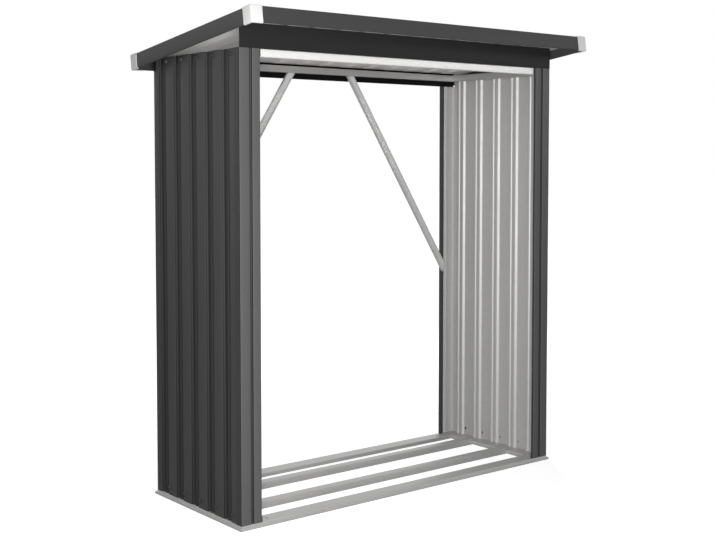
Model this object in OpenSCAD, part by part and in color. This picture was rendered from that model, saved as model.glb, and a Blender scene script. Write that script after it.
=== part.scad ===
// Open-fronted steel log store: folded-sheet posts on a galvanised base frame,
// two grooved side walls, and a ribbed mono-pitch roof inside a deep fascia.
// Axes: +X to the viewer's right along the front, +Y to the back, +Z up.
// The origin is on the ground, under the middle of the roof.

/* [Frame] */
// Width over the outer faces of the posts
body_w = 1606; // [1206:10:2406]
// Depth from the front faces of the posts to the back faces
body_d = 610; // [450:10:900]
// Width of a post's front face
post_face_w = 88; // [70:1:120]
// Depth of a post's outer side flange
post_side_d = 34; // [28:1:60]
// Depth of a post's inner return
post_return_d = 12; // [10:1:30]
// Width of the lip behind a post's inner return
post_lip_w = 18; // [10:1:25]
// Distance from a post's outer face to its groove
groove_x = 42; // [30:1:44]
// Width of the groove down a post's face
groove_w = 12; // [6:1:14]
// Depth of the groove down a post's face
groove_d = 8; // [4:1:9]
// Sheet thickness of the posts and headers
frame_t = 1; // [0.8:0.1:2]

/* [Base] */
// Height of the sills' top web, which the posts stand on
sill_h = 16; // [12:1:30]
// Height of the sills' outer lip
sill_lip_h = 10; // [6:1:11]
// Distance the sills' outer lip stands out past the posts
sill_lip_out = 7; // [3:1:12]
// Width of the sills' top web, from the posts' outer face inwards
sill_web_w = 69; // [60:1:90]
// Sheet thickness of the sills and bearers
sill_t = 1.2; // [1:0.1:2]
// Height of the floor bearers that the logs lie on
bearer_h = 28; // [20:1:40]
// Width of a floor bearer's top
bearer_w = 40; // [30:1:60]
// Distance from the posts' outer faces to the middle of each bearer
bearer_inset = 196; // [150:1:220]
// Diameter of the four ground anchor holes
anchor_d = 11; // [9:0.5:14]
// Distance from the ends of the frame to the anchor holes
anchor_inset = 130; // [110:5:250]

/* [Side walls] */
// Distance from one groove of a side wall to the next
wall_pitch = 113; // [90:1:140]
// Distance from the front post's side flange to the first groove
wall_first_flat = 35; // [5:1:60]
// Width of a wall groove at its mouth
wall_mouth_w = 55; // [46:1:70]
// Width of a wall groove at its floor
wall_floor_w = 41; // [30:1:44]
// Depth of a wall groove
wall_groove_d = 9; // [6:1:16]
// Height of the bead along the middle of each groove's floor
wall_bead_h = 4; // [2:1:5]
// Width of the bead at its foot
wall_bead_w = 17; // [12:1:24]
// Width of the bead at its crest
wall_bead_crest_w = 9; // [4:1:10]
// Sheet thickness of the side walls
wall_t = 0.6; // [0.5:0.1:1.2]

/* [Top rails and braces] */
// Height of the galvanised top rails
rail_h = 28; // [20:1:40]
// Depth of the galvanised top rails
rail_d = 25; // [15:1:28]
// Depth of the back top rail, which is cut down to clear the braces
rail_back_d = 18; // [10:1:25]
// Sheet thickness of the rails and braces
rail_t = 1; // [0.8:0.1:2]
// Width of a brace across its face
brace_w = 30; // [20:1:40]
// Depth of a brace
brace_d = 14; // [8:1:18]
// Distance from the middle of the store to the top of each brace
brace_top_x = 160; // [100:5:300]
// Height at which each brace meets its back post
brace_foot_z = 830; // [500:10:1000]
// Gap between the tops of the side walls and the roof at the back
wall_roof_gap = 7.5; // [2:0.5:20]

/* [Headers] */
// Depth of the front header's flanges
header_front_d = 40; // [20:1:60]
// Depth of the back header's flanges
header_back_d = 12; // [8:1:12]
// Distance from the tops of the side walls down to the back header's bottom
header_back_drop = 52; // [32:1:80]

/* [Roof] */
// Height of the fascia's top edge along the front
front_h = 1850; // [1700:1:2100]
// Pitch of the roof, in degrees
pitch_deg = 7.6; // [3:0.1:12]
// Distance the roof stands out past each side
side_overhang = 52; // [30:1:120]
// Distance the roof stands out past the front
front_overhang = 150; // [60:5:250]
// Distance the roof stands out past the back
back_overhang = 88; // [40:1:150]
// Height of the fascia
fascia_h = 58; // [50:1:80]
// Depth of the fascia's top flange
fascia_top_d = 22; // [15:1:30]
// Depth of the fascia's bottom flange
fascia_bottom_d = 6; // [4:1:20]
// Sheet thickness of the fascia
fascia_t = 0.8; // [0.6:0.1:1.2]
// Number of ribs across the roof, an odd number
roof_ribs = 13; // [9:2:17]
// Distance from the fascia's face to the middle of the outermost rib
roof_edge_rib = 128; // [100:1:150]
// Width of a roof rib at its crest
roof_crest_w = 24; // [16:1:30]
// Width of a roof rib at its foot
roof_foot_w = 44; // [34:1:46]
// Height of a roof rib
roof_rib_h = 16; // [10:1:24]
// Sheet thickness of the roof
roof_t = 0.6; // [0.5:0.1:1.2]
// Width of the foot by which the middle roof sheet laps its neighbours
lap_foot = 12; // [6:1:16]
// Length of a corner cap along each fascia
cap_leg = 46; // [30:1:80]
// Wall thickness of the corner caps
cap_t = 2; // [1.5:0.1:3]

/* [Fits] */
// Clearance between pieces that seat on each other
fit = 0.3; // [0.1:0.1:0.5]

/* [Hidden] */

anthracite = [0.27, 0.28, 0.30];
anthracite_light = [0.36, 0.37, 0.39];
zinc = [0.72, 0.74, 0.75];
white = [0.93, 0.93, 0.92];

// Roof pitch and the length of the roof along its slope
roof_plan_d = body_d + front_overhang + back_overhang;
roof_w = body_w + 2 * side_overhang;
roof_slope_d = roof_plan_d / cos(pitch_deg);

// Y of the roof's front top edge and of the posts' faces, so that the origin
// is under the middle of the roof with its caps
cap_out = cap_t + fit;
roof_reach_front = cap_out * cos(pitch_deg) + (fascia_h + cap_out) * sin(pitch_deg);
roof_reach_back = cap_out * (cos(pitch_deg) + sin(pitch_deg));
roof_front_y = -(roof_plan_d + roof_reach_back - roof_reach_front) / 2;
front_y = roof_front_y + front_overhang;
back_y = front_y + body_d;

// Depth below the roof's top plane of the sheets' crests and pans
lap_lift = roof_t + fit;
crest_depth = fascia_t + fit + lap_lift;
pan_depth = crest_depth + roof_rib_h;
roof_pitch_x = (roof_w - 2 * roof_edge_rib) / (roof_ribs - 1);
rib_angle = atan(roof_rib_h / ((roof_foot_w - roof_crest_w) / 2));
lap_grow = lap_lift * tan(rib_angle / 2);
first_lap = floor(roof_ribs / 3);
last_lap = roof_ribs - 1 - first_lap;

// Side walls: their outer plane behind the posts' side flanges, the deepest plane
// of their inner faces, the middle of the first groove and the number of grooves
wall_outer_x = frame_t + fit;
wall_inner_x = wall_outer_x + wall_groove_d + wall_t;
wall_first_groove = post_side_d + wall_first_flat + wall_mouth_w / 2;
wall_groove_room = body_d - 2 * post_side_d - wall_first_flat - wall_mouth_w;
wall_grooves = floor(wall_groove_room / wall_pitch + 0.001) + 1;

// Distance from the posts' faces to the plane on which the top rails and the braces
// seat, at the front behind the posts' lips and at the back also behind the header
front_seat = post_return_d + fit;
back_seat = max(post_return_d, header_back_d) + fit;

// Half the clear width between the side rails
rail_half = body_w / 2 - wall_inner_x - rail_d - 2 * fit;

// Clear width between the two bearers' seats in the side sills
bearer_half = body_w / 2 - sill_web_w - fit;

// Height of the underside of the roof sheets at a distance y from the front faces
function roof_under(y) =
    front_h - (y + front_overhang) * tan(pitch_deg) - (pan_depth + roof_t + fit) / cos(pitch_deg);

// Height of the side walls' tops, which front posts and top rails share, and of
// the back posts' tops, under the back header
wall_top_h = roof_under(body_d) - wall_roof_gap;
back_post_h = wall_top_h - header_back_drop;

function unit(v) = v / norm(v);
function left_of(a, b) = let (u = unit(b - a)) [-u[1], u[0]];

// Point of the inner line of a folded sheet, at the fold number i
function inner_point(p, i, t) =
    i == 0 ? p[0] + t * left_of(p[0], p[1]) :
    i == len(p) - 1 ? p[i] + t * left_of(p[i - 1], p[i]) :
    let (a = left_of(p[i - 1], p[i]), b = left_of(p[i], p[i + 1])) p[i] + t * (a + b) / (1 + a * b);

// Section of a sheet of thickness t folded along the outer line p, with the
// metal on the left of the line
module folded(p, t) {
    polygon(concat(p, [for (i = [len(p) - 1 : -1 : 0]) inner_point(p, i, t)]));
}

// Runs a section drawn in the Y-Z plane along X, from x0 to x1
module along_x(x0, x1) {
    translate([x0, 0, 0]) rotate([90, 0, 90]) linear_extrude(x1 - x0) children();
}

// Runs a section drawn in the X-Z plane along Y, from y0 to y1
module along_y(y0, y1) {
    translate([0, y1, 0]) rotate([90, 0, 0]) linear_extrude(y1 - y0) children();
}

// Puts a piece drawn from its outer left corner at that corner of the frame,
// or mirrored at another corner
module at_corner(right, back) {
    translate([0, back ? back_y : front_y, 0])
        mirror([0, back ? 1 : 0, 0])
            mirror([right ? 1 : 0, 0, 0])
                translate([-body_w / 2, 0, 0]) children();
}

// Sill section: outer lip, ledge, raised web and inner flange
module sill_section() {
    folded([
        [sill_web_w, 0], [sill_web_w, sill_h], [0, sill_h], [0, sill_lip_h],
        [-sill_lip_out, sill_lip_h], [-sill_lip_out, 0]
    ], sill_t);
}

// Plan of a sill of a given length with both ends cut at 45 degrees
module mitre_plan(length) {
    polygon([
        [-sill_lip_out, -sill_lip_out], [length + sill_lip_out, -sill_lip_out],
        [length - sill_web_w, sill_web_w], [sill_web_w, sill_web_w]
    ]);
}

// Sill along X, drawn from the frame's outer left corner, with its anchor holes
module long_sill() {
    difference() {
        intersection() {
            along_x(-sill_lip_out, body_w + sill_lip_out) sill_section();
            linear_extrude(sill_h) mitre_plan(body_w);
        }
        for (x = [anchor_inset, body_w - anchor_inset])
            translate([x, sill_web_w / 2, -1]) cylinder(d = anchor_d, h = sill_h + 2, $fn = 48);
    }
}

// Sill along Y, drawn from the frame's outer left corner
module short_sill() {
    intersection() {
        along_y(-sill_lip_out, body_d + sill_lip_out) sill_section();
        linear_extrude(sill_h) mirror([1, -1, 0]) mitre_plan(body_d);
    }
}

// Floor bearer: a channel with its web up, between the side sills
module bearer(y) {
    color(zinc)
        along_x(-bearer_half, bearer_half)
            translate([y, 0])
                folded([
                    [bearer_w / 2, 0], [bearer_w / 2, bearer_h],
                    [-bearer_w / 2, bearer_h], [-bearer_w / 2, 0]
                ], sill_t);
}

// Post: side flange, grooved face, and a short return with a lip
module post(top_h) {
    color(anthracite_light)
        translate([0, 0, sill_h])
            linear_extrude(top_h - sill_h)
                folded([
                    [0, post_side_d], [0, 0], [groove_x, 0], [groove_x, groove_d],
                    [groove_x + groove_w, groove_d], [groove_x + groove_w, 0],
                    [post_face_w, 0], [post_face_w, post_return_d],
                    [post_face_w - post_lip_w, post_return_d]
                ], frame_t);
}

// Outer line of one wall groove with its bead, from the back to the front
function groove_line(c) = let (
    floor_x = wall_outer_x + wall_groove_d,
    bead_x = floor_x - wall_bead_h
) [
    [wall_outer_x, c + wall_mouth_w / 2], [floor_x, c + wall_floor_w / 2],
    [floor_x, c + wall_bead_w / 2], [bead_x, c + wall_bead_crest_w / 2],
    [bead_x, c - wall_bead_crest_w / 2], [floor_x, c - wall_bead_w / 2],
    [floor_x, c - wall_floor_w / 2], [wall_outer_x, c - wall_mouth_w / 2]
];

// Side wall: one grooved sheet standing on the sill, its edges behind the posts' flanges
module wall() {
    color(anthracite)
        translate([0, 0, sill_h])
            linear_extrude(wall_top_h - sill_h)
                folded(concat(
                    [[wall_outer_x, body_d - header_back_d - fit]],
                    [for (i = [wall_grooves - 1 : -1 : 0])
                        each groove_line(wall_first_groove + i * wall_pitch)],
                    [[wall_outer_x, frame_t + fit]]
                ), wall_t);
}

// Channel section of a rail, with its web at x = 0 and its flanges towards +x
module rail_section(depth) {
    folded([[depth, rail_h], [0, rail_h], [0, 0], [depth, 0]], rail_t);
}

// Side top rail, drawn from the frame's outer left corner, flanges to the wall
module side_rail() {
    color(zinc)
        along_y(frame_t + fit, body_d - header_back_d - fit)
            translate([wall_inner_x + fit + rail_d, wall_top_h - rail_h])
                mirror([1, 0]) rail_section(rail_d);
}

// Front top rail, between the side rails and behind the posts' lips
module rail_front() {
    color(zinc)
        along_x(-rail_half, rail_half)
            translate([front_y + front_seat, wall_top_h - rail_h]) rail_section(rail_d);
}

// Back top rail, between the side rails and in front of the header
module rail_back() {
    color(zinc)
        along_x(-rail_half, rail_half)
            translate([back_y - back_seat - rail_back_d, wall_top_h - rail_h])
                rail_section(rail_back_d);
}

// Brace: a channel open to the front, from under the back rail down and out to the
// lip of a back post
module brace() {
    top = [brace_top_x, wall_top_h - rail_h];
    foot = [body_w / 2 - post_face_w, brace_foot_z];
    span = foot - top;
    color(zinc)
        intersection() {
            translate([top[0], back_y - back_seat - brace_d, top[1]])
                rotate([0, -atan2(span[1], span[0]), 0])
                    along_x(-brace_w, norm(span) + brace_w)
                        folded([
                            [0, -brace_w / 2], [brace_d, -brace_w / 2],
                            [brace_d, brace_w / 2], [0, brace_w / 2]
                        ], rail_t);
            translate([0, front_y, 0]) cube([foot[0] + post_lip_w, body_d, top[1] - fit]);
        }
}

// Front header: a channel over the posts, with its top flange under the roof
module header_front() {
    color(anthracite)
        along_x(-body_w / 2, body_w / 2)
            translate([front_y, 0])
                folded([
                    [header_front_d, roof_under(header_front_d)], [0, roof_under(0)],
                    [0, wall_top_h], [header_front_d, wall_top_h]
                ], frame_t);
}

// Back header: a deeper channel over the shorter back posts
module header_back() {
    inner = body_d - header_back_d;
    color(anthracite)
        along_x(-body_w / 2, body_w / 2)
            translate([front_y, 0])
                folded([
                    [inner, back_post_h], [body_d, back_post_h],
                    [body_d, roof_under(body_d)], [inner, roof_under(inner)]
                ], frame_t);
}

// Tilts the roof: Y runs down the slope from the front edge, and Z = 0 is its top plane
module roof_frame() {
    translate([0, roof_front_y, front_h]) rotate([-pitch_deg, 0, 0]) children();
}

// Distance across the roof of the rib number i from the middle
function rib_x(i) = -roof_w / 2 + roof_edge_rib + i * roof_pitch_x;

// Outer line of one roof rib, from +X to -X
function rib_line(c) = [
    [c + roof_foot_w / 2, 0], [c + roof_crest_w / 2, roof_rib_h],
    [c - roof_crest_w / 2, roof_rib_h], [c - roof_foot_w / 2, 0]
];

// Line of the rib by which the middle sheet laps its right neighbour
function lap_line(c) = [
    [c + roof_foot_w / 2 + lap_grow + lap_foot, lap_lift],
    [c + roof_foot_w / 2 + lap_grow, lap_lift],
    [c + roof_crest_w / 2 + lap_grow, roof_rib_h + lap_lift],
    [c - roof_crest_w / 2 - lap_grow, roof_rib_h + lap_lift],
    [c - roof_foot_w / 2 - lap_grow - lap_lift / tan(rib_angle), 0]
];

// Mirrors a line across the middle of the roof, keeping its direction
function mirrored(p) = [for (i = [len(p) - 1 : -1 : 0]) [-p[i][0], p[i][1]]];

// Roof sheet folded along a line of pans and ribs
module roof_sheet(line) {
    color(anthracite)
        roof_frame()
            along_y(fascia_t + fit, roof_slope_d - fascia_t - fit)
                translate([0, -pan_depth]) folded(line, roof_t);
}

// Line of the right-hand roof sheet, from the side fascia to the foot of the lapped rib
function side_sheet_line() = concat(
    [[roof_w / 2 - fascia_t - fit, 0]],
    [for (i = [roof_ribs - 1 : -1 : last_lap]) each rib_line(rib_x(i))]
);

// Section of a fascia, with its outer top edge at the origin
module fascia_section() {
    folded([
        [fascia_top_d, 0], [0, 0], [0, -fascia_h], [fascia_bottom_d, -fascia_h]
    ], fascia_t);
}

// Fascia across the front, drawn in the roof's own frame
module long_fascia() {
    along_x(-roof_w / 2, roof_w / 2) fascia_section();
}

// Fascia down the left side, between the front and back fascias
module side_fascia() {
    along_y(fascia_top_d + fit, roof_slope_d - fascia_top_d - fit)
        translate([-roof_w / 2, 0]) fascia_section();
}

// Puts a piece drawn for the roof's front left corner at that or another corner
module roof_corner(right, back) {
    translate([0, back ? roof_slope_d : 0, 0])
        mirror([0, back ? 1 : 0, 0])
            mirror([right ? 1 : 0, 0, 0]) children();
}

// Plastic cap that wraps the fascias where they meet
module corner_cap(right, back) {
    leg = cap_leg + cap_out;
    color(white)
        roof_frame()
            roof_corner(right, back)
                translate([-roof_w / 2, 0, 0])
                    difference() {
                        translate([-cap_out, -cap_out, -fascia_h - cap_out])
                            cube([leg, leg, fascia_h + 2 * cap_out]);
                        translate([-fit, -fit, -fascia_h - fit])
                            cube([leg, leg, fascia_h + 2 * fit]);
                        translate([fascia_bottom_d, fascia_bottom_d, -fascia_h - cap_out - 1])
                            cube([leg, leg, fascia_h / 2 + cap_out + 1]);
                        translate([fascia_top_d, fascia_top_d, -fascia_h / 2 - 1])
                            cube([leg, leg, fascia_h / 2 + cap_out + 2]);
                    }
}

module sill_front() { color(zinc) at_corner(false, false) long_sill(); }
module sill_back() { color(zinc) at_corner(false, true) long_sill(); }
module sill_left() { color(zinc) at_corner(false, false) short_sill(); }
module sill_right() { color(zinc) at_corner(true, false) short_sill(); }
module bearer_front() { bearer(front_y + bearer_inset); }
module bearer_back() { bearer(back_y - bearer_inset); }
module post_front_left() { at_corner(false, false) post(wall_top_h); }
module post_front_right() { at_corner(true, false) post(wall_top_h); }
module post_back_left() { at_corner(false, true) post(back_post_h); }
module post_back_right() { at_corner(true, true) post(back_post_h); }
module wall_left() { at_corner(false, false) wall(); }
module wall_right() { at_corner(true, false) wall(); }
module rail_left() { at_corner(false, false) side_rail(); }
module rail_right() { at_corner(true, false) side_rail(); }
module brace_left() { mirror([1, 0, 0]) brace(); }
module brace_right() { brace(); }
module roof_sheet_left() { roof_sheet(mirrored(side_sheet_line())); }
module roof_sheet_right() { roof_sheet(side_sheet_line()); }
module roof_sheet_middle() {
    right_lap = lap_line(rib_x(last_lap));
    roof_sheet(concat(
        right_lap,
        [for (i = [last_lap - 1 : -1 : first_lap + 1]) each rib_line(rib_x(i))],
        mirrored(right_lap)
    ));
}
module fascia_front() { color(anthracite) roof_frame() long_fascia(); }
module fascia_back() { color(anthracite) roof_frame() roof_corner(false, true) long_fascia(); }
module fascia_left() { color(anthracite) roof_frame() side_fascia(); }
module fascia_right() { color(anthracite) roof_frame() roof_corner(true, false) side_fascia(); }
module cap_front_left() { corner_cap(false, false); }
module cap_front_right() { corner_cap(true, false); }
module cap_back_left() { corner_cap(false, true); }
module cap_back_right() { corner_cap(true, true); }

sill_front();
sill_back();
sill_left();
sill_right();
bearer_front();
bearer_back();
post_front_left();
post_front_right();
post_back_left();
post_back_right();
wall_left();
wall_right();
rail_front();
rail_back();
rail_left();
rail_right();
brace_left();
brace_right();
header_front();
header_back();
roof_sheet_left();
roof_sheet_middle();
roof_sheet_right();
fascia_front();
fascia_back();
fascia_left();
fascia_right();
cap_front_left();
cap_front_right();
cap_back_left();
cap_back_right();
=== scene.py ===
import math

import bmesh
import bpy
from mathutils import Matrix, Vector


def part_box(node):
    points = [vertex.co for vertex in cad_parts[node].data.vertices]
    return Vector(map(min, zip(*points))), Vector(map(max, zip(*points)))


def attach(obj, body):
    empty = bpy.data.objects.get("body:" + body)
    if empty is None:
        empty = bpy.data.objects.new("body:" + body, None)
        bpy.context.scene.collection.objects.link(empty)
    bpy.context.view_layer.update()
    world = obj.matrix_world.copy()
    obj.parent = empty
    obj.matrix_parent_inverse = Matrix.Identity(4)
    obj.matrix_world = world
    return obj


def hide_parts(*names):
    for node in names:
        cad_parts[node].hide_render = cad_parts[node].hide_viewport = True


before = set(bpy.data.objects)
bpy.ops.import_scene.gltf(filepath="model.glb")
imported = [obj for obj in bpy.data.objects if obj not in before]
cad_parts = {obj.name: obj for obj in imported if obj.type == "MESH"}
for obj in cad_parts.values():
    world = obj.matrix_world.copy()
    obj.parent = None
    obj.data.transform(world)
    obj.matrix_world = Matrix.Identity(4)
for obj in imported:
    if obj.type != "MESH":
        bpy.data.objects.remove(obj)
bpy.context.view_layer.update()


# ---------------------------------------------------------------------------
# Base frame: two long and two short sills, mitred at the corners, and the two
# floor bearers that the logs lie on. Roll-formed strip, hot-dip galvanised,
# with a faint spangle. The long sills are bolted to the ground.
# ---------------------------------------------------------------------------

class Wire:
    """The output of a node. Sums, differences and products of wires add Math nodes."""

    def __init__(self, finish, socket):
        self.finish = finish
        self.socket = socket

    def math(self, operation, first, second):
        return self.finish.node("ShaderNodeMath", {"operation": operation}, {0: first, 1: second})

    def __add__(self, other):
        return self.math("ADD", self, other)

    def __sub__(self, other):
        return self.math("SUBTRACT", self, other)

    def __rsub__(self, other):
        return self.math("SUBTRACT", other, self)

    def __mul__(self, other):
        return self.math("MULTIPLY", self, other)

    __radd__ = __add__
    __rmul__ = __mul__


class Finish:
    """The nodes of one material, or of the world, added one at a time."""

    def __init__(self, owner):
        owner.use_nodes = True
        self.tree = owner.node_tree
        self.tree.nodes.clear()

    def node(self, kind, settings=None, sockets=None, output=0):
        made = self.tree.nodes.new(kind)
        for name, value in (settings or {}).items():
            setattr(made, name, value)
        for socket, value in (sockets or {}).items():
            if isinstance(value, Wire):
                self.tree.links.new(value.socket, made.inputs[socket])
            else:
                made.inputs[socket].default_value = value
        return Wire(self, made.outputs[output]) if made.outputs else None

    def place(self, stretch=(1, 1, 1)):
        """Where a point is on the piece, in metres. A small stretch draws a pattern out."""
        here = self.node("ShaderNodeTexCoord", output="Object")
        return self.node("ShaderNodeMapping", sockets={"Vector": here, "Scale": stretch})

    def noise(self, where, scale, detail=3.0):
        """Soft noise, with so many waves to the metre."""
        return self.node(
            "ShaderNodeTexNoise",
            sockets={"Vector": where, "Scale": scale, "Detail": detail},
        )

    def blend(self, factor, first, second):
        """From the first colour to the second."""
        return self.node(
            "ShaderNodeMix", {"data_type": "RGBA"}, {0: factor, 6: first, 7: second}, output=2
        )

    def bump(self, height, distance):
        """Relief from a height between 0 and 1, as tall as the distance in metres."""
        return self.node("ShaderNodeBump", sockets={"Height": height, "Distance": distance})

    def rise(self, value, start, end, top=1.0):
        """Nothing up to the start, then a soft rise to the top at the end."""
        return self.node(
            "ShaderNodeMapRange",
            {"interpolation_type": "SMOOTHSTEP"},
            {"Value": value, "From Min": start, "From Max": end, "To Min": 0.0, "To Max": top},
        )

    def output(self, shader, kind="ShaderNodeOutputMaterial"):
        """Ends the nodes of a material or, with another kind, of the world."""
        self.node(kind, sockets={"Surface": shader})


def grey(level, warmth=0.0):
    """A grey that leans a little to red, or to blue with a negative warmth."""
    return (level * (1 + warmth), level, level * (1 - warmth), 1.0)


def galvanised(name, along, level, metal=0.6, warmth=0.008, relief=0.00004):
    """Zinc-coated strip with a spangle of about 10 mm, rolled along one axis, or along none.
    A lower metal is a duller coat."""
    material = bpy.data.materials.new(name)
    finish = Finish(material)
    stretch = [1.0, 1.0, 1.0]
    if along:
        stretch["XYZ".index(along)] = 0.04
    here = finish.place()
    cells = finish.node(
        "ShaderNodeTexVoronoi", sockets={"Vector": here, "Scale": 95.0, "Randomness": 1.0}, output="Color"
    )
    spangle = finish.node("ShaderNodeSeparateColor", sockets={"Color": cells})
    cloud = finish.noise(here, 5.0)
    rolled = finish.noise(finish.place(stretch), 160.0)
    shade = spangle * 0.25 + cloud * 0.45 + rolled * 0.3
    shader = finish.node(
        "ShaderNodeBsdfPrincipled",
        sockets={
            "Base Color": finish.blend(shade, grey(level * 0.9, warmth * 1.5), grey(level * 1.08, warmth)),
            "Roughness": 0.40 + cloud * 0.12 + spangle * 0.06,
            "Metallic": metal,
            "Normal": finish.bump(spangle * 0.3 + rolled * 0.7, relief),
        },
    )
    finish.output(shader)
    return material


def alone(piece):
    """Selects one piece, and nothing else, for the operators that follow."""
    bpy.ops.object.select_all(action="DESELECT")
    piece.select_set(True)
    bpy.context.view_layer.objects.active = piece


weld_distance = 0.00002
flat_angle = math.radians(0.5)
least_fold = math.radians(12)
smooth_angle = math.radians(34)
cut_edge_gauges = 1.6
bend_segments = 3
least_bend = 0.0002


def breadth(face):
    """How wide a face is across its narrow direction, which for a cut edge is the sheet's gauge."""
    return 2 * face.calc_area() / sum(edge.calc_length() for edge in face.edges)


def select_folds(piece, gauge, outer):
    """Selects the outer, or the inner, lines along which a sheet is folded."""
    form = bmesh.from_edit_mesh(piece.data)
    for part in (form.faces, form.edges, form.verts):
        for element in part:
            element.select = False
    found = 0
    for edge in form.edges:
        if len(edge.link_faces) != 2:
            continue
        if min(breadth(face) for face in edge.link_faces) < cut_edge_gauges * gauge:
            continue
        turn = edge.calc_face_angle_signed()
        if (turn > least_fold) if outer else (turn < -least_fold):
            edge.select_set(True)
            found += 1
    bmesh.update_edit_mesh(piece.data)
    return found


def sort_skins(piece, gauge, outside):
    """Gives the skin that faces outside the first material and the other skin the second.
    Cut edges go with the first."""
    form = bmesh.from_edit_mesh(piece.data)
    waiting = {face for face in form.faces if breadth(face) >= cut_edge_gauges * gauge}
    skins = []
    while waiting:
        seed = waiting.pop()
        skin, reached = [seed], [seed]
        while reached:
            for edge in reached.pop().edges:
                for face in edge.link_faces:
                    if face in waiting:
                        waiting.discard(face)
                        skin.append(face)
                        reached.append(face)
        skins.append(skin)
    for face in form.faces:
        face.material_index = 0
    for skin in skins:
        lean = sum(face.normal.dot(outside) * face.calc_area() for face in skin)
        if lean < 0:
            for face in skin:
                face.material_index = 1
    bmesh.update_edit_mesh(piece.data)


def folded_sheet(node, gauge, bend, outside, skin, lining=None):
    """A sheet piece in place of a CAD node: its creases become bends of a real radius, and
    each side of the sheet gets its own finish."""
    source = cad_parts[node]
    piece = bpy.data.objects.new(node + "_sheet", source.data.copy())
    bpy.context.scene.collection.objects.link(piece)
    piece.data.materials.clear()
    piece.data.materials.append(skin)
    piece.data.materials.append(lining or skin)
    alone(piece)
    bpy.ops.mesh.customdata_custom_splitnormals_clear()
    bpy.ops.object.mode_set(mode="EDIT")
    bpy.ops.mesh.select_mode(type="EDGE")
    bpy.ops.mesh.select_all(action="SELECT")
    bpy.ops.mesh.remove_doubles(threshold=weld_distance)
    bpy.ops.mesh.dissolve_limited(angle_limit=flat_angle)
    sort_skins(piece, gauge, Vector(outside))
    for outer, radius in ((True, bend), (False, max(bend - gauge, least_bend))):
        if select_folds(piece, gauge, outer):
            bpy.ops.mesh.bevel(
                offset=radius, segments=bend_segments, affect="EDGES", clamp_overlap=True
            )
    bpy.ops.mesh.select_all(action="DESELECT")
    bpy.ops.object.mode_set(mode="OBJECT")
    bpy.ops.object.shade_smooth_by_angle(angle=smooth_angle)
    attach(piece, "root")
    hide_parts(node)
    return piece


strip_gauge = 0.0012
strip_bend = 0.0022
zinc_long = galvanised("galvanised_strip_long", "X", 0.48)
zinc_short = galvanised("galvanised_strip_short", "Y", 0.48)
for node in ("sill_front", "sill_back", "bearer_front", "bearer_back"):
    folded_sheet(node, strip_gauge, strip_bend, (0, 0, 1), zinc_long)
for node in ("sill_left", "sill_right"):
    folded_sheet(node, strip_gauge, strip_bend, (0, 0, 1), zinc_short)


# ---------------------------------------------------------------------------
# Posts: cold-formed steel sheet with a stiffening groove down the face, painted
# anthracite outside before it is folded, and left as zinc inside. They stand on
# the sills' corners.
# ---------------------------------------------------------------------------

def painted(name, along, level, gloss=0.25, face=None):
    """Satin anthracite paint on sheet rolled along one axis. A grooved face is given as the
    axis across it and its distance from the middle. Behind the face the colour is painted
    shade, drawn towards black: most on a groove's flanks just behind the face, less deeper in."""
    material = bpy.data.materials.new(name)
    finish = Finish(material)
    stretch = [1.0, 1.0, 1.0]
    stretch["XYZ".index(along)] = 0.05
    here = finish.place()
    cloud = finish.noise(here, 4.0)
    rolled = finish.noise(finish.place(stretch), 90.0)
    peel = finish.noise(here, 900.0, 1.0)
    dark = (level * 0.92, level * 0.92, level * 0.93, 1.0)
    light = (level * 1.07, level * 1.07, level * 1.10, 1.0)
    colour = finish.blend(cloud * 0.6 + rolled * 0.4, dark, light)
    # Painted shade: colour drawn towards black behind a grooved face, in place of the shade in its grooves
    # and on a post's sides.
    if face:
        axis, distance = face
        across = finish.node("ShaderNodeSeparateXYZ", sockets={"Vector": here}, output=axis)
        depth = distance - finish.node("ShaderNodeMath", {"operation": "ABSOLUTE"}, {0: across})
        flank_painted_shade = finish.rise(depth, 0.0006, 0.0020, 0.92)
        painted_shade_less_deeper = finish.rise(depth, 0.0035, 0.0055, 0.34)
        colour = finish.blend(flank_painted_shade - painted_shade_less_deeper, colour, grey(level * 0.05))
    shader = finish.node(
        "ShaderNodeBsdfPrincipled",
        sockets={
            "Base Color": colour,
            "Roughness": 0.40 + cloud * 0.10 + rolled * 0.05,
            "Specular IOR Level": gloss,
            "Normal": finish.bump(peel * 0.7 + rolled * 0.3, 0.00005),
        },
    )
    finish.output(shader)
    return material


post_gauge = 0.001
post_bend = 0.0022
zinc_upright = galvanised("galvanised_sheet_upright", "Z", 0.50, metal=0.3)
# Painted light: the posts get a lighter copy of the wall's anthracite, standing in for the light on their
# faces; painted shade darkens their grooves and sides.
for depth, y in (("front", -1), ("back", 1)):
    face_place = max(abs(corner[1]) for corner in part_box(f"post_{depth}_left"))
    lit_post_paint = painted(f"anthracite_paint_lit_post_{depth}", "Z", 0.092, face=("Y", face_place))
    for side, x in (("left", -1), ("right", 1)):
        folded_sheet(f"post_{depth}_{side}", post_gauge, post_bend, (x, y, 0), lit_post_paint, zinc_upright)


# ---------------------------------------------------------------------------
# Side walls: one sheet each, roll-formed with five beaded grooves, painted
# anthracite outside and left as bare zinc inside. They stand on the short
# sills between the posts, and are screwed at the foot and the top.
# ---------------------------------------------------------------------------

wall_gauge = 0.0006
wall_bend = 0.0014
wall_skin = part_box("wall_right")[1][0]
# Painted shade: the wall paint darkens on the grooves' flanks and floors, in place of the shade inside
# them.
wall_paint = painted("anthracite_paint_wall", "Z", 0.052, face=("X", wall_skin))
wall_zinc = galvanised("galvanised_wall_lining", "Z", 0.48, metal=0.3)
for side, x in (("left", -1), ("right", 1)):
    folded_sheet(f"wall_{side}", wall_gauge, wall_bend, (x, 0, 0), wall_paint, wall_zinc)


# ---------------------------------------------------------------------------
# Wall screws: steel hex screws with a washer head, painted like the wall and
# sealed with black rubber. Each wall has one above its foot and one below its
# top in front of every groove.
# ---------------------------------------------------------------------------

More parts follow.
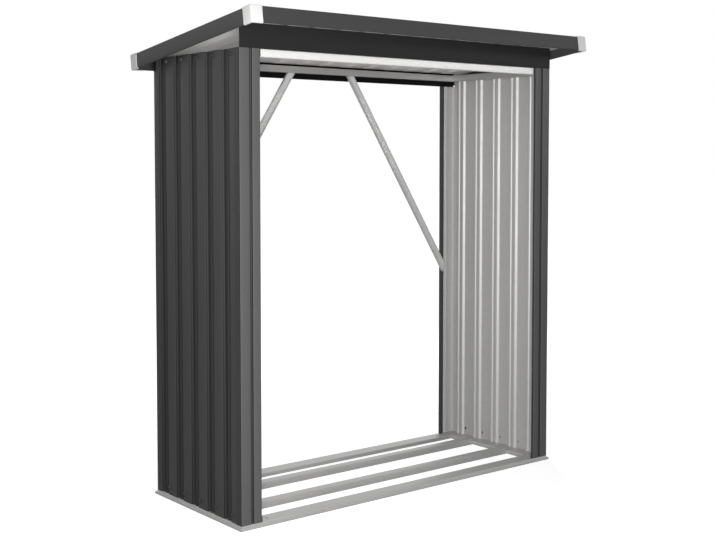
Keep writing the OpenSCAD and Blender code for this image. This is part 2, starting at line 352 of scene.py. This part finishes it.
screw_head_round = 0.0046
screw_head_tall = 0.0044
screw_head_chamfer = 0.0006
screw_flange_round = 0.0060
screw_flange_tall = 0.0012
washer_round = 0.0072
washer_tall = 0.0014
disc_chamfer = 0.0004
disc_sides = 20
screw_turn = math.radians(17)
groove_pitch = 0.113
groove_mouth = 0.055
groove_number = 5
first_groove = 0.0965
screw_ahead = 0.008
screw_foot = 0.030
screw_top = 0.018


def rubber(name, level):
    """Matt black rubber or soft plastic."""
    material = bpy.data.materials.new(name)
    finish = Finish(material)
    here = finish.place()
    dust = finish.noise(here, 120.0)
    shader = finish.node(
        "ShaderNodeBsdfPrincipled",
        sockets={
            "Base Color": finish.blend(dust, grey(level * 0.8), grey(level * 1.3)),
            "Roughness": 0.62 + dust * 0.12,
            "Normal": finish.bump(finish.noise(here, 1800.0, 1.0), 0.00002),
        },
    )
    finish.output(shader)
    return material


def turned(radius, tall, bottom, sides, chamfer):
    """A disc or hex head that stands on the XY plane, with its upper rim chamfered."""
    bpy.ops.object.select_all(action="DESELECT")
    bpy.ops.mesh.primitive_cylinder_add(
        vertices=sides, radius=radius, depth=tall, location=(0, 0, bottom + tall / 2)
    )
    part = bpy.context.object
    bpy.ops.object.transform_apply(location=True, rotation=True, scale=True)
    bpy.ops.object.mode_set(mode="EDIT")
    bpy.ops.mesh.select_mode(type="FACE")
    bpy.ops.mesh.select_all(action="DESELECT")
    form = bmesh.from_edit_mesh(part.data)
    for face in form.faces:
        face.select_set(face.normal.z > 0.9)
    bmesh.update_edit_mesh(part.data)
    bpy.ops.mesh.bevel(offset=chamfer, segments=2, affect="EDGES")
    bpy.ops.object.mode_set(mode="OBJECT")
    return part


def joined(parts, name):
    """One mesh from several, with its place in the mesh."""
    bpy.ops.object.select_all(action="DESELECT")
    for part in parts:
        part.select_set(True)
    bpy.context.view_layer.objects.active = parts[0]
    bpy.ops.object.join()
    piece = bpy.context.object
    piece.name = name
    bpy.ops.object.transform_apply(location=True, rotation=True, scale=True)
    bpy.ops.object.shade_smooth_by_angle(angle=smooth_angle)
    return piece


screw_paint = painted("anthracite_paint_screw", "X", 0.040)
black_rubber = rubber("black_sealing_rubber", 0.018)
washer = turned(washer_round, washer_tall, 0.0, disc_sides, disc_chamfer)
flange = turned(screw_flange_round, screw_flange_tall, washer_tall, disc_sides, disc_chamfer)
head_bottom = washer_tall + screw_flange_tall
head = turned(screw_head_round, screw_head_tall, head_bottom, 6, screw_head_chamfer)
washer.data.materials.append(black_rubber)
for part in (flange, head):
    part.data.materials.append(screw_paint)
screw = joined([washer, flange, head], "wall_screw")
wall_bottom, wall_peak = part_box("wall_left")
front_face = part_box("post_front_left")[0][1]
for side, sign in (("left", -1), ("right", 1)):
    copies = []
    for groove in range(groove_number):
        y = front_face + first_groove + groove * groove_pitch - groove_mouth / 2 - screw_ahead
        for z in (wall_bottom[2] + screw_foot, wall_peak[2] - screw_top):
            copy = bpy.data.objects.new("wall_screw_copy", screw.data.copy())
            bpy.context.scene.collection.objects.link(copy)
            copy.location = (sign * wall_skin, y, z)
            copy.rotation_euler = (screw_turn * groove, sign * math.radians(90), 0)
            copies.append(copy)
    screws = joined(copies, f"wall_screws_{side}")
    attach(screws, "root")
bpy.data.objects.remove(screw)


# ---------------------------------------------------------------------------
# Post pads: small soft black blocks stuck to the inner return of the front
# posts, one beside the front rail and one on the sill.
# ---------------------------------------------------------------------------

pad_thick = 0.003
pad_deep = 0.010
lower_pad_tall = 0.022
pad_round = 0.0009
rail_low, rail_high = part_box("rail_front")
sill_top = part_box("sill_front")[1][2]
for side, sign in (("left", -1), ("right", 1)):
    pads = []
    low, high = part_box(f"post_front_{side}")
    inner_edge = high[0] if sign < 0 else low[0]
    for bottom, top in ((rail_low[2], rail_high[2]), (sill_top, sill_top + lower_pad_tall)):
        bpy.ops.object.select_all(action="DESELECT")
        bpy.ops.mesh.primitive_cube_add(size=1)
        pad = bpy.context.object
        pad.scale = (pad_thick, pad_deep, top - bottom)
        pad.location = (
            inner_edge - sign * pad_thick / 2,
            low[1] + post_gauge + pad_deep / 2,
            (bottom + top) / 2,
        )
        bpy.ops.object.transform_apply(location=True, rotation=True, scale=True)
        bpy.ops.object.mode_set(mode="EDIT")
        bpy.ops.mesh.select_mode(type="EDGE")
        bpy.ops.mesh.select_all(action="SELECT")
        bpy.ops.mesh.bevel(offset=pad_round, segments=3, affect="EDGES")
        bpy.ops.object.mode_set(mode="OBJECT")
        pad.data.materials.append(black_rubber)
        pads.append(pad)
    pair = joined(pads, f"post_pads_{side}")
    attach(pair, "root")


# ---------------------------------------------------------------------------
# Top rails and braces: roll-formed galvanised channels. The rails tie the posts
# together below the roof, and the two braces stiffen the open back.
# ---------------------------------------------------------------------------

rail_gauge = 0.001
rail_bend = 0.002
# Painted highlight: the front rail's zinc is a much lighter copy of the other rails' zinc, standing in for
# the bright reflection on its face.
zinc_front_rail_highlight = galvanised("galvanised_rail_front_painted_highlight", "X", 0.86, metal=0.3)
zinc_brace = galvanised("galvanised_brace", "", 0.58, metal=0.3, relief=0.000004)
folded_sheet("rail_front", rail_gauge, rail_bend, (0, -1, 0), zinc_front_rail_highlight)
folded_sheet("rail_back", rail_gauge, rail_bend, (0, -1, 0), zinc_long)
folded_sheet("rail_left", rail_gauge, rail_bend, (1, 0, 0), zinc_short)
folded_sheet("rail_right", rail_gauge, rail_bend, (-1, 0, 0), zinc_short)
for side in ("left", "right"):
    folded_sheet(f"brace_{side}", rail_gauge, rail_bend, (0, 1, 0), zinc_brace)


# ---------------------------------------------------------------------------
# Headers: folded channels that lie along the front and back posts' tops and
# carry the roof. They are painted outside, and have only black primer inside.
# ---------------------------------------------------------------------------

# Painted shade: the headers' paint is a much darker copy of the anthracite, standing in for the shade
# under the roof's overhang.
shaded_header_paint = painted("anthracite_paint_header_shaded", "X", 0.019, gloss=0.15)
header_primer = painted("black_primer", "X", 0.005, gloss=0.1)
folded_sheet("header_front", post_gauge, post_bend, (0, -1, 0), shaded_header_paint, header_primer)
folded_sheet("header_back", post_gauge, post_bend, (0, 1, 0), shaded_header_paint, header_primer)


# ---------------------------------------------------------------------------
# Roof: three ribbed sheets, lapped at two ribs and laid on the headers. They
# are painted above and bare zinc beneath.
# ---------------------------------------------------------------------------

roof_gauge = 0.0006
roof_bend = 0.0025
roof_paint = painted("anthracite_paint_roof", "Y", 0.052)
roof_zinc = galvanised("galvanised_roof_lining", "Y", 0.74, metal=0.2, warmth=0.015)
for place in ("left", "middle", "right"):
    folded_sheet(f"roof_sheet_{place}", roof_gauge, roof_bend, (0, 0, 1), roof_paint, roof_zinc)


# ---------------------------------------------------------------------------
# Fascia: folded trim of painted sheet round the roof. It clasps the edges of
# the roof sheets on all four sides.
# ---------------------------------------------------------------------------

fascia_gauge = 0.0008
fascia_bend = 0.002
# Painted shade: the front and back fascia get a darker copy of the side fascia's paint, evening out the
# stronger light on the front.
shaded_paint_across = painted("anthracite_paint_fascia_across_shaded", "X", 0.042)
paint_along = painted("anthracite_paint_fascia_side", "Y", 0.054)
for side, y in (("front", -1), ("back", 1)):
    folded_sheet(f"fascia_{side}", fascia_gauge, fascia_bend, (0, y, 0), shaded_paint_across)
for side, x in (("left", -1), ("right", 1)):
    folded_sheet(f"fascia_{side}", fascia_gauge, fascia_bend, (x, 0, 0), paint_along)


# ---------------------------------------------------------------------------
# Corner caps: moulded white plastic with rounded edges. They are pushed over
# the fascia's corners and hide its cut ends.
# ---------------------------------------------------------------------------

def moulded_plastic(name, colour):
    """Smooth plastic with a very fine grain from the mould."""
    material = bpy.data.materials.new(name)
    finish = Finish(material)
    here = finish.place()
    cloud = finish.noise(here, 14.0)
    grain = finish.noise(here, 1500.0, 1.0)
    tint = finish.blend(cloud, [c * 0.97 for c in colour] + [1.0], list(colour) + [1.0])
    shader = finish.node(
        "ShaderNodeBsdfPrincipled",
        sockets={
            "Base Color": tint,
            "Roughness": 0.36 + cloud * 0.08,
            "Normal": finish.bump(grain, 0.00003),
        },
    )
    finish.output(shader)
    return material


cap_wall = 0.002
cap_round = 0.0032
cap_plastic = moulded_plastic("white_plastic", (0.72, 0.72, 0.71))
for depth, y in (("front", -1), ("back", 1)):
    for side, x in (("left", -1), ("right", 1)):
        folded_sheet(f"cap_{depth}_{side}", cap_wall, cap_round, (x, y, 0), cap_plastic)


# ---------------------------------------------------------------------------
# Studio: a plain pale floor in a white room, with a key lamp at the front left,
# a weak gridded lamp for the front right corner, a lamp behind, and the camera.
# ---------------------------------------------------------------------------

floor_width = 60
floor_level = 0.55
glow_near_store = 0.76
near_store = 1.2
far_from_store = 4.5
room_strength = 0.16

bpy.ops.object.select_all(action="DESELECT")
bpy.ops.mesh.primitive_plane_add(size=floor_width, location=(0, 0, 0))
floor = bpy.context.object
floor.name = "floor"
# Painted light: the floor glows for the camera, a little less near the store so that its shadow shows.
material = bpy.data.materials.new("pale_floor")
finish = Finish(material)
path = finish.node("ShaderNodeLightPath", output="Is Camera Ray")
diffuse = finish.node("ShaderNodeBsdfDiffuse", sockets={"Color": grey(floor_level)})
away = finish.node("ShaderNodeVectorMath", {"operation": "LENGTH"}, {0: finish.place()}, output="Value")
far = finish.rise(away, near_store, far_from_store)
glow_colour = finish.blend(far, grey(glow_near_store), grey(1.0))
glow = finish.node("ShaderNodeEmission", sockets={"Color": glow_colour, "Strength": path})
finish.output(finish.node("ShaderNodeAddShader", sockets={0: diffuse, 1: glow}))
floor.data.materials.append(material)

world = bpy.data.worlds.new("studio")
bpy.context.scene.world = world
finish = Finish(world)
camera_ray = finish.node("ShaderNodeLightPath", output="Is Camera Ray")
glossy_ray = finish.node("ShaderNodeLightPath", output="Is Glossy Ray")
clear_ray = finish.node("ShaderNodeLightPath", output="Is Transmission Ray")
seen = finish.node("ShaderNodeMath", {"operation": "MAXIMUM"}, {0: camera_ray, 1: glossy_ray})
seen = finish.node("ShaderNodeMath", {"operation": "MAXIMUM"}, {0: seen, 1: clear_ray})
room = finish.node("ShaderNodeBackground", sockets={"Color": grey(1.0), "Strength": room_strength})
white = finish.node("ShaderNodeBackground", sockets={"Color": grey(1.0), "Strength": 1.0})
finish.output(
    finish.node("ShaderNodeMixShader", sockets={0: seen, 1: room, 2: white}),
    "ShaderNodeOutputWorld",
)


def softbox(name, watts, width, place, aim, spread=180, in_reflections=True):
    """A square soft lamp at a place, turned to an aim point. A grid narrows its spread."""
    bpy.ops.object.light_add(type="AREA", location=place)
    lamp = bpy.context.object
    lamp.name = name
    lamp.data.energy = watts
    lamp.data.size = width
    lamp.data.spread = math.radians(spread)
    lamp.visible_camera = False
    lamp.visible_glossy = in_reflections
    lamp.rotation_mode = "QUATERNION"
    lamp.rotation_quaternion = (Vector(aim) - Vector(place)).to_track_quat("-Z", "Y")


softbox("key_lamp", 114, 1.0, (-2.2, -2.75, 1.25), (0, -0.2, 1.0))
softbox("corner_lamp", 0.8, 0.6, (2.0, -2.9, 2.2), (0.9, -0.43, 1.9), spread=40)
softbox("back_lamp", 80, 1.4, (2.2, 2.9, 2.2), (0, 0, 0.9), in_reflections=False)

camera_data = bpy.data.cameras.new("camera")
camera = bpy.data.objects.new("camera", camera_data)
bpy.context.scene.collection.objects.link(camera)
camera_data.sensor_width = 36
camera_data.lens = 58.68
camera_data.shift_y = -0.07
camera.location = (-3.054, -3.733, 1.335)
camera.rotation_euler = (math.radians(90 - 3.05), 0, math.radians(-38.805))
bpy.context.scene.camera = camera
bpy.context.scene.view_settings.view_transform = "Standard"
